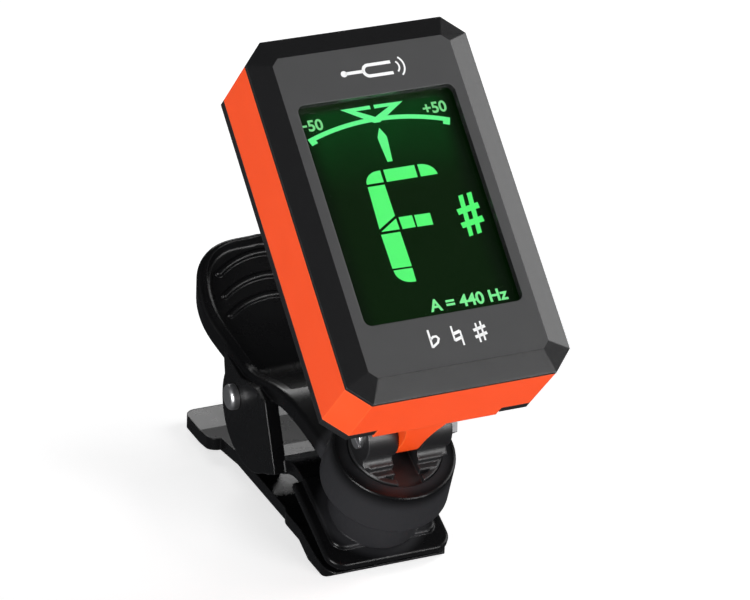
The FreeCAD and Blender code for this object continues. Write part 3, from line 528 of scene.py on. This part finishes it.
MATERIALS = {
    "clip_black": plastic(
        "clip_black",
        (0.0035, 0.0035, 0.0038),
        (0.0022, 0.0022, 0.0025),
        (0.014, 0.014, 0.015),
        (0.23, 0.32),
        grain=0.35,
        depth=0.000004,
        radius=0.0003,
        specular=0.28,
        # A painted sheen, with a duller skin, on the arm's collar round the swivel washer.
        satin_and_sheen=(middle("swivel_washer"), 0.0102, (0.018, 0.018, 0.020)),
    ),
    "collar_black": plastic(
        "collar_black",
        (0.008, 0.008, 0.0088),
        (0.005, 0.005, 0.0055),
        (0.03, 0.03, 0.032),
        (0.38, 0.5),
        grain=0.14,
        depth=0.00001,
        radius=0.00035,
        specular=0.7,
    ),
    "case_black": plastic(
        "case_black",
        (0.012, 0.012, 0.013),
        (0.008, 0.008, 0.009),
        (0.03, 0.03, 0.03),
        (0.42, 0.55),
        grain=0.12,
        depth=0.00003,
        specular=0.4,
    ),
    "bezel_grey": bezel_plastic(),
    "housing_orange": plastic(
        "housing_orange",
        (0.80, 0.068, 0.007),
        (0.75, 0.058, 0.005),
        (0.90, 0.14, 0.03),
        (0.34, 0.46),
        grain=0.16,
        depth=0.000012,
        radius=0.0003,
        specular=0.4,
    ),
    "pad_rubber": plastic(
        "pad_rubber",
        (0.02, 0.02, 0.02),
        (0.012, 0.012, 0.012),
        (0.04, 0.04, 0.04),
        (0.7, 0.85),
        grain=0.2,
        depth=0.00004,
        specular=0.3,
    ),
    "button_rubber": plastic(
        "button_rubber",
        (0.035, 0.035, 0.036),
        (0.025, 0.025, 0.026),
        (0.06, 0.06, 0.06),
        (0.55, 0.7),
        grain=0.1,
        depth=0.00002,
    ),
    "inner_plastic": plastic(
        "inner_plastic",
        (0.05, 0.05, 0.052),
        (0.035, 0.035, 0.037),
        (0.1, 0.1, 0.1),
        (0.4, 0.55),
    ),
    "gasket_foam": plastic(
        "gasket_foam",
        (0.012, 0.012, 0.012),
        (0.006, 0.006, 0.006),
        (0.02, 0.02, 0.02),
        (0.85, 0.95),
        grain=0.25,
        depth=0.00008,
        specular=0.2,
    ),
    "chip_black": plastic(
        "chip_black",
        (0.02, 0.02, 0.021),
        (0.014, 0.014, 0.015),
        (0.05, 0.05, 0.05),
        (0.5, 0.65),
        grain=0.08,
    ),
    "light_guide": plastic(
        "light_guide",
        (0.80, 0.86, 0.80),
        (0.72, 0.78, 0.72),
        (0.9, 0.95, 0.9),
        (0.25, 0.4),
    ),
    "print_white": plastic(
        "print_white",
        (0.94, 0.94, 0.94),
        (0.86, 0.86, 0.86),
        (0.96, 0.96, 0.96),
        (0.45, 0.6),
        grain=0.06,
        depth=0.00001,
        radius=0.00003,
    ),
    "bright_steel": metal(
        "bright_steel", (0.90, 0.90, 0.91), (0.74, 0.74, 0.76), (0.3, 0.48)
    ),
    "spring_steel": metal(
        "spring_steel",
        (0.55, 0.55, 0.57),
        (0.38, 0.38, 0.4),
        (0.22, 0.42),
        radius=0.00005,
    ),
    "dark_screw": metal(
        "dark_screw", (0.06, 0.06, 0.065), (0.03, 0.03, 0.033), (0.25, 0.45)
    ),
    "brass": metal("brass", (0.75, 0.52, 0.20), (0.6, 0.38, 0.13), (0.2, 0.4)),
    "cell_steel": metal(
        "cell_steel",
        (0.72, 0.72, 0.74),
        (0.6, 0.6, 0.62),
        (0.16, 0.34),
        stretch=(0.1, 1.0, 1.0),
    ),
    "clear_window": clear_window(),
    "display_ground": display_ground(),
    "segment_green": lit_segment(
        "segment_green", (0.085, 1.0, 0.17), (0.14, 1.0, 0.30)
    ),
    "number_green": lit_segment(
        "number_green", (0.22, 0.95, 0.32), (0.20, 0.72, 0.26)
    ),
    "board_green": board_green(),
}

FINISHES = {
    "clip_black": ["upper_arm", "lower_arm"],
    "collar_black": ["swivel_turntable"],
    "case_black": ["back_cover", "battery_door"],
    "bezel_grey": ["front_bezel"],
    "housing_orange": ["mid_housing"],
    "pad_rubber": ["upper_jaw_pad", "lower_jaw_pad", "friction_ring"],
    "button_rubber": ["power_button"],
    "inner_plastic": ["cell_holder", "display_frame", "power_switch"],
    "gasket_foam": ["display_gasket", "zebra_strip"],
    "chip_black": ["controller_chip"],
    "light_guide": ["backlight_panel", "backlight_leds"],
    "bright_steel": ["pivot_pin", "tilt_screw", "tilt_nut", "timing_crystal"],
    "spring_steel": ["torsion_spring"],
    "dark_screw": ["case_screws", "swivel_screw"],
    "brass": ["piezo_pickup", "cell_contact_positive", "cell_contact_negative"],
    "cell_steel": ["coin_cell", "swivel_washer"],
    "clear_window": ["display_window"],
    "display_ground": ["lcd_panel"],
    "board_green": ["circuit_board"],
}


def finish_nodes():
    """Every CAD node gets its finish in all its material slots."""
    for finish, nodes in FINISHES.items():
        for node in nodes:
            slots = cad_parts[node].data.materials
            for i in range(max(1, len(slots))):
                if i < len(slots):
                    slots[i] = MATERIALS[finish]
                else:
                    slots.append(MATERIALS[finish])


# ---- display marks and printing ----
def thin_mesh(name, outlines, matrix, thickness, material):
    """Flat shapes of a small thickness from outlines in face coordinates, as one piece."""
    bm = bmesh.new()
    for outline in outlines:
        low = [bm.verts.new((x, y, 0)) for x, y in outline]
        high = [bm.verts.new((x, y, thickness)) for x, y in outline]
        bm.faces.new(high)
        bm.faces.new(low[::-1])
        for i in range(len(outline)):
            j = (i + 1) % len(outline)
            bm.faces.new((low[i], low[j], high[j], high[i]))
    bmesh.ops.recalc_face_normals(bm, faces=bm.faces)
    bm.transform(matrix)
    mesh = bpy.data.meshes.new(name)
    bm.to_mesh(mesh)
    bm.free()
    return put(name, mesh, material, "head")


def put(name, mesh, material, body):
    """An object for a mesh that is already in the model's frame."""
    made = bpy.data.objects.new(name, mesh)
    bpy.context.scene.collection.objects.link(made)
    mesh.materials.clear()
    mesh.materials.append(MATERIALS[material])
    if body:
        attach(made, body)
    return made


def words(name, lines, matrix, thickness, material, weight=0.0):
    """Numbers set in the built-in font: (text, middle x, foot y, height), as one piece."""
    bm = bmesh.new()
    for text, x, y, height in lines:
        curve = bpy.data.curves.new(name + "_text", "FONT")
        curve.body = text
        curve.size = height / NUMBER_FONT_CAP
        curve.align_x = "CENTER"
        curve.extrude = thickness / 2
        curve.offset = weight
        shape = bpy.data.objects.new(name + "_text", curve)
        bpy.context.scene.collection.objects.link(shape)
        bpy.context.view_layer.update()
        flat = bpy.data.meshes.new_from_object(shape)
        flat.transform(Matrix.Translation((x, y, thickness / 2)))
        bm.from_mesh(flat)
        bpy.data.objects.remove(shape)
        bpy.data.meshes.remove(flat)
        bpy.data.curves.remove(curve)
    bm.transform(matrix)
    mesh = bpy.data.meshes.new(name)
    bm.to_mesh(mesh)
    bm.free()
    return put(name, mesh, material, "head")


ARC_RADIUS = 29.6
ARC_TOP = 12.42
ARC_WIDTH = 0.58
ARC_END = 9.75
ARC_STEPS = 28
TICK_LENGTH = 0.9
TICK_DROP = 0.42
MARK_THICKNESS = 0.03


def on_arc(x, inward=0.0):
    """A point on the dial arc's middle line, moved towards its centre."""
    angle = x / ARC_RADIUS
    reach = ARC_RADIUS - inward
    return (
        reach * math.sin(angle),
        ARC_TOP - ARC_RADIUS + reach * math.cos(angle),
    )


def arc_band(x0, x1, outer, inner, steps):
    """A band along the dial arc."""
    xs = [x0 + (x1 - x0) * i / steps for i in range(steps + 1)]
    return [on_arc(x, outer) for x in xs] + [on_arc(x, inner) for x in reversed(xs)]


def dial_scale():
    half = ARC_WIDTH / 2
    low = half + TICK_DROP
    return [
        arc_band(-ARC_END, ARC_END, -half, half, ARC_STEPS),
        arc_band(-ARC_END, TICK_LENGTH - ARC_END, half, low, 4),
        arc_band(ARC_END - TICK_LENGTH, ARC_END, half, low, 4),
    ]


def pointer_outline():
    """The open triangle over the dial: two bars that slope down to meet at its point."""
    return [
        [(-4.3, 14.32), (-0.32, 14.34), (-0.32, 13.86), (-2.35, 13.86),
         (-0.05, 12.72), (-0.05, 11.95), (-0.4, 11.95)],
        [(0.2, 14.34), (4.15, 14.28), (0.4, 11.95), (-0.05, 11.95),
         (-0.05, 12.72), (2.2, 13.86), (0.2, 13.86)],
    ]


def needle_outline():
    return [
        [(0.0, 11.2), (-0.38, 10.45), (-0.6, 9.95), (-0.6, 9.5), (-0.32, 6.56),
         (0.36, 6.56), (0.62, 9.5), (0.62, 9.95), (0.4, 10.45)]
    ]


def rounded_corner(x0, y0, x1, y1, steps=8):
    """Points of a quarter round from (x0, y0), which it leaves upright,
    to (x1, y1), which it meets level."""
    return [
        (
            x1 + (x0 - x1) * math.cos(math.pi / 2 * i / steps),
            y0 + (y1 - y0) * math.sin(math.pi / 2 * i / steps),
        )
        for i in range(steps + 1)
    ]


def letter_outlines():
    """The lit segments of a letter F, each with its own small gaps."""
    return [
        [(-1.65, 4.0), (-1.65, 5.58), *rounded_corner(-3.92, 4.0, -2.05, 5.58)[::-1]],
        [(-1.22, 3.95), (2.95, 3.95), (2.97, 5.6), (-1.22, 5.6)],
        [(3.4, 3.95), *rounded_corner(5.66, 3.95, 3.55, 5.6), (3.4, 5.6)],
        [(-3.92, 3.65), (-4.12, -2.06), (-1.6, -0.62), (-1.65, 3.65)],
        [(-1.58, -1.0), (-4.0, -2.42), (-1.54, -2.46)],
        [(-1.2, -0.9), (-1.14, -2.5), (0.62, -2.5), (0.6, -0.9)],
        [(0.9, -0.94), (0.86, -2.52), (2.98, -2.56), (3.02, -0.98)],
        [(-4.15, -2.8), (-4.07, -7.4), (-1.5, -7.46), (-1.58, -2.8)],
        [(-1.5, -7.7), (-4.02, -7.66),
         *rounded_corner(-4.0, -7.8, -1.95, -9.5), (-1.54, -9.5)],
    ]


def sharp_outlines():
    """The sharp sign: two leaning uprights and two rising bars."""
    return [
        [(7.4, 0.62), (7.16, -4.9), (7.72, -4.8), (8.04, 0.72)],
        [(8.6, 0.8), (8.32, -4.74), (8.94, -4.62), (9.26, 0.9)],
        [(6.6, -1.12), (6.7, -1.88), (9.72, -1.36), (9.66, -0.58)],
        [(6.56, -2.98), (6.68, -3.7), (9.76, -3.2), (9.66, -2.4)],
    ]


def display_marks():
    """All that the display shows, just in front of its glass."""
    on_glass = face_frame(GLASS_FRONT)
    shapes = {
        "dial_scale": dial_scale(),
        "dial_pointer": pointer_outline(),
        "dial_needle": needle_outline(),
        "note_letter": letter_outlines(),
        "sharp_sign": sharp_outlines(),
    }
    for name, outlines in shapes.items():
        thin_mesh(
            name, outlines, on_glass, MARK_THICKNESS, "segment_green"
        )
    words(
        "dial_numbers",
        [("−50", -8.75, 12.14, 1.5), ("+50", 8.05, 12.1, 1.5)],
        on_glass,
        MARK_THICKNESS,
        "number_green",
        weight=0.045,
    )
    words(
        "pitch_reading",
        [("A = 440 Hz", 4.4, -13.75, 1.6)],
        on_glass,
        MARK_THICKNESS,
        "number_green",
        weight=0.055,
    )


# ---- printing on the bezel ----
BEZEL_MARK_THICKNESS = 0.03
FORK_PLACE = (0.0, 18.2)
NOTE_SIGNS_PLACE = (0.6, -18.0)
FORK_HALF_GAP = 0.75
FORK_STROKE = 0.42
THIN_STROKE = 0.22
BROAD_STROKE = 0.4


def circle_points(x, y, radius, steps=24):
    """Points round a circle."""
    angles = [2 * math.pi * i / steps for i in range(steps)]
    return [(x + radius * math.cos(a), y + radius * math.sin(a)) for a in angles]


def bar(x0, y0, x1, y1, width):
    """A straight bar between two points."""
    along = Vector((x1 - x0, y1 - y0)).normalized() * width / 2
    return [
        (x0 - along.y, y0 + along.x),
        (x0 + along.y, y0 - along.x),
        (x1 + along.y, y1 - along.x),
        (x1 - along.y, y1 + along.x),
    ]


def bent_bar(points, width):
    """A bar of even width along a bent line."""
    left, right = [], []
    for i, (x, y) in enumerate(points):
        before = Vector(points[max(i - 1, 0)])
        after = Vector(points[min(i + 1, len(points) - 1)])
        side = (after - before).normalized() * width / 2
        left.append((x - side.y, y + side.x))
        right.append((x + side.y, y - side.x))
    return left + right[::-1]


def arc_points(x, y, radius, start, end, steps):
    """Points along an arc, from and to an angle in degrees."""
    angles = [math.radians(start + (end - start) * i / steps) for i in range(steps + 1)]
    return [(x + radius * math.cos(a), y + radius * math.sin(a)) for a in angles]


def fork_mark():
    """A plain tuning fork lying across the bezel, with two sound waves off its tips."""
    x, y = FORK_PLACE
    tip = x + 3.3
    bow = arc_points(x + 0.2, y, FORK_HALF_GAP, 90, 270, 12)
    prongs = [(tip, y + FORK_HALF_GAP), *bow, (tip, y - FORK_HALF_GAP)]
    waves = [
        bent_bar(arc_points(x + 3.4, y, reach, -50, 50, 10), THIN_STROKE)
        for reach in (0.9, 1.6)
    ]
    return [
        bent_bar(prongs, FORK_STROKE),
        bar(x - 0.5, y, x - 3.0, y, FORK_STROKE),
        circle_points(x - 3.2, y, FORK_STROKE),
        *waves,
    ]


def note_signs():
    """A flat, a natural and a sharp sign in a row."""
    x, y = NOTE_SIGNS_PLACE
    flat = [
        bar(x - 3.6, y + 1.35, x - 3.6, y - 1.0, 0.26),
        bent_bar(
            [
                (x - 3.6, y - 0.95),
                (x - 2.75, y - 0.45),
                (x - 2.5, y + 0.05),
                (x - 2.75, y + 0.38),
                (x - 3.15, y + 0.38),
                (x - 3.6, y + 0.05),
            ],
            0.3,
        ),
    ]
    natural = [
        bar(x - 0.5, y + 1.35, x - 0.5, y - 0.6, THIN_STROKE),
        bar(x + 0.5, y + 0.6, x + 0.5, y - 1.35, THIN_STROKE),
        bar(x - 0.5, y + 0.28, x + 0.5, y + 0.55, BROAD_STROKE),
        bar(x - 0.5, y - 0.55, x + 0.5, y - 0.28, BROAD_STROKE),
    ]
    sharp = [
        bar(x + 2.75, y + 1.2, x + 2.75, y - 1.35, THIN_STROKE),
        bar(x + 3.4, y + 1.35, x + 3.4, y - 1.2, THIN_STROKE),
        bar(x + 2.25, y + 0.3, x + 3.9, y + 0.65, BROAD_STROKE),
        bar(x + 2.25, y - 0.6, x + 3.9, y - 0.25, BROAD_STROKE),
    ]
    return flat + natural + sharp


def bezel_prints():
    """Plain white printing over and under the window."""
    on_bezel = face_frame(BEZEL_FRONT)
    for name, outlines in (("fork_mark", fork_mark()), ("note_signs", note_signs())):
        thin_mesh(
            name,
            outlines,
            on_bezel,
            BEZEL_MARK_THICKNESS,
            "print_white",
        )


# ---- clip spring ----
WIRE_RADIUS = 0.35
COIL_RADIUS = 1.55
COIL_PITCH = 0.742
LOW_FOOT = (0, 8.7, -9.0)  # where each leg ends, measured from the rivet
HIGH_FOOT = (0, 6.2, 3.3)
WHOLE_TURNS = 5
WIRE_SIDES = 14
STEPS_PER_TURN = 28


def swept_wire(path, radius, sides):
    """A round wire along a list of points, closed at both ends."""
    bm = bmesh.new()
    rings = []
    last_side = None
    for i, point in enumerate(path):
        before, after = path[max(i - 1, 0)], path[min(i + 1, len(path) - 1)]
        along = (after - before).normalized()
        if last_side is None:
            last_side = along.orthogonal().normalized()
        side = (last_side - along * last_side.dot(along)).normalized()
        last_side = side
        other = along.cross(side)
        rings.append(
            [
                bm.verts.new(
                    point
                    + (
                        side * math.cos(2 * math.pi * k / sides)
                        + other * math.sin(2 * math.pi * k / sides)
                    )
                    * radius
                )
                for k in range(sides)
            ]
        )
    for one, two in zip(rings, rings[1:]):
        for k in range(sides):
            j = (k + 1) % sides
            bm.faces.new((one[k], one[j], two[j], two[k]))
    bm.faces.new(rings[0][::-1])
    bm.faces.new(rings[-1])
    bmesh.ops.recalc_face_normals(bm, faces=bm.faces)
    return bm


def touch_angle(target, centre, turn):
    """Angle round the rivet at which a straight leg to a target leaves the coil."""
    away = target - centre
    reach = math.hypot(away.y, away.z)
    return math.atan2(away.z, away.y) + turn * math.acos(COIL_RADIUS * MM / reach)


def clip_spring():
    """The torsion spring: a coil on the rivet with one leg on each lever,
    so it winds up as the clip opens."""
    centre = middle("pivot_pin")
    low_foot = centre + Vector(LOW_FOOT) * MM
    high_foot = centre + Vector(HIGH_FOOT) * MM
    start = touch_angle(low_foot, centre, -1)
    end = touch_angle(high_foot, centre, 1)
    turns = WHOLE_TURNS + (start - end) % (2 * math.pi) / (2 * math.pi)
    length = COIL_PITCH * turns * MM
    steps = round(turns * STEPS_PER_TURN)
    radius = COIL_RADIUS * MM
    coil = []
    for i in range(steps + 1):
        a = start - 2 * math.pi * turns * i / steps
        x = length * (i / steps - 0.5)
        coil.append(centre + Vector((x, math.cos(a) * radius, math.sin(a) * radius)))
    leg_steps = 10
    first = [
        (low_foot + Vector((-length / 2, 0, 0))).lerp(coil[0], i / leg_steps)
        for i in range(leg_steps)
    ]
    last = [
        coil[-1].lerp(high_foot + Vector((length / 2, 0, 0)), (i + 1) / leg_steps)
        for i in range(leg_steps)
    ]
    bm = swept_wire(first + coil + last, WIRE_RADIUS * MM, WIRE_SIDES)
    for face in bm.faces:
        face.smooth = len(face.verts) == 4
    mesh = bpy.data.meshes.new("clip_spring")
    bm.to_mesh(mesh)
    bm.free()
    spring = put("clip_spring", mesh, "spring_steel", None)
    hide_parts("torsion_spring")
    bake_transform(spring)
    return spring


# ---- studio ----
CAMERA_AIM = Vector((0.0, -5.999, 35.270)) * MM
CAMERA_DISTANCE = 554.20 * MM
CAMERA_AZIMUTH = math.radians(-25.467)
CAMERA_ELEVATION = math.radians(26.643)
CAMERA_ROLL = math.radians(2.349)
CAMERA_LENS = 211.257
FLOOR_HALF_WIDTH = 3.0


def make_camera():
    data = bpy.data.cameras.new("studio_camera")
    data.lens = CAMERA_LENS
    data.clip_start, data.clip_end = 0.01, 20
    camera = bpy.data.objects.new("studio_camera", data)
    bpy.context.scene.collection.objects.link(camera)
    back = Vector(
        (
            math.sin(CAMERA_AZIMUTH) * math.cos(CAMERA_ELEVATION),
            -math.cos(CAMERA_AZIMUTH) * math.cos(CAMERA_ELEVATION),
            math.sin(CAMERA_ELEVATION),
        )
    )
    camera.rotation_mode = "QUATERNION"
    level = (-back).to_track_quat("-Z", "Y")
    camera.rotation_quaternion = (
        level @ Matrix.Rotation(CAMERA_ROLL, 4, "Z").to_quaternion()
    )
    camera.location = CAMERA_AIM + back * CAMERA_DISTANCE
    bpy.context.scene.camera = camera


def softbox(name, toward, distance, size, power):
    """A soft light panel, placed in a direction from the object and turned to it."""
    data = bpy.data.lights.new(name, "AREA")
    data.shape = "RECTANGLE"
    data.size, data.size_y = size
    data.energy = power
    lamp = bpy.data.objects.new(name, data)
    bpy.context.scene.collection.objects.link(lamp)
    way = Vector(toward).normalized()
    lamp.location = CAMERA_AIM + way * distance
    lamp.rotation_mode = "QUATERNION"
    lamp.rotation_quaternion = (-way).to_track_quat("-Z", "Y")
    return lamp


def make_studio():
    world = bpy.data.worlds.new("studio_air")
    bpy.context.scene.world = world
    world.use_nodes = True
    air = world.node_tree.nodes["Background"]
    air.inputs["Color"].default_value = (0.92, 0.95, 1.0, 1)
    air.inputs["Strength"].default_value = 0.05
    softbox("right_softbox", (1.0, -0.1, 0.6), 0.9, (0.45, 0.6), 3.4)
    softbox("front_softbox", (0.4, -1.0, 0.2), 0.9, (0.5, 0.2), 4.8)
    softbox("left_softbox", (-1.0, -0.6, 0.12), 1.0, (0.5, 0.4), 10.8)
    softbox("back_softbox", (0.2, 1.0, 0.55), 0.9, (0.4, 0.2), 1.5)
    floor_mesh = bpy.data.meshes.new("studio_floor")
    half = FLOOR_HALF_WIDTH
    floor_mesh.from_pydata(
        [(-half, -half, 0), (half, -half, 0), (half, half, 0), (-half, half, 0)],
        [],
        [(0, 1, 2, 3)],
    )
    floor = bpy.data.objects.new("studio_floor", floor_mesh)
    bpy.context.scene.collection.objects.link(floor)
    made, tree, shader = new_material("floor_paper")
    cloud = add(
        tree,
        "TexNoise",
        {"Vector": add(tree, "TexCoord").outputs["Object"], "Scale": 900.0},
    )
    tree.links.new(
        tint(tree, cloud.outputs[0], (0.84, 0.84, 0.84), (0.87, 0.87, 0.87)),
        shader.inputs["Base Color"],
    )
    shader.inputs["Roughness"].default_value = 0.8
    shader.inputs["Specular IOR Level"].default_value = 0.1
    shader.inputs["Emission Color"].default_value = (1, 1, 1, 1)
    shader.inputs["Emission Strength"].default_value = 0.62
    floor_mesh.materials.append(made)
    floor.visible_glossy = False
    bpy.context.scene.view_settings.view_transform = "Standard"


finish_nodes()
display_marks()
bezel_prints()
clip_spring()
make_camera()
make_studio()
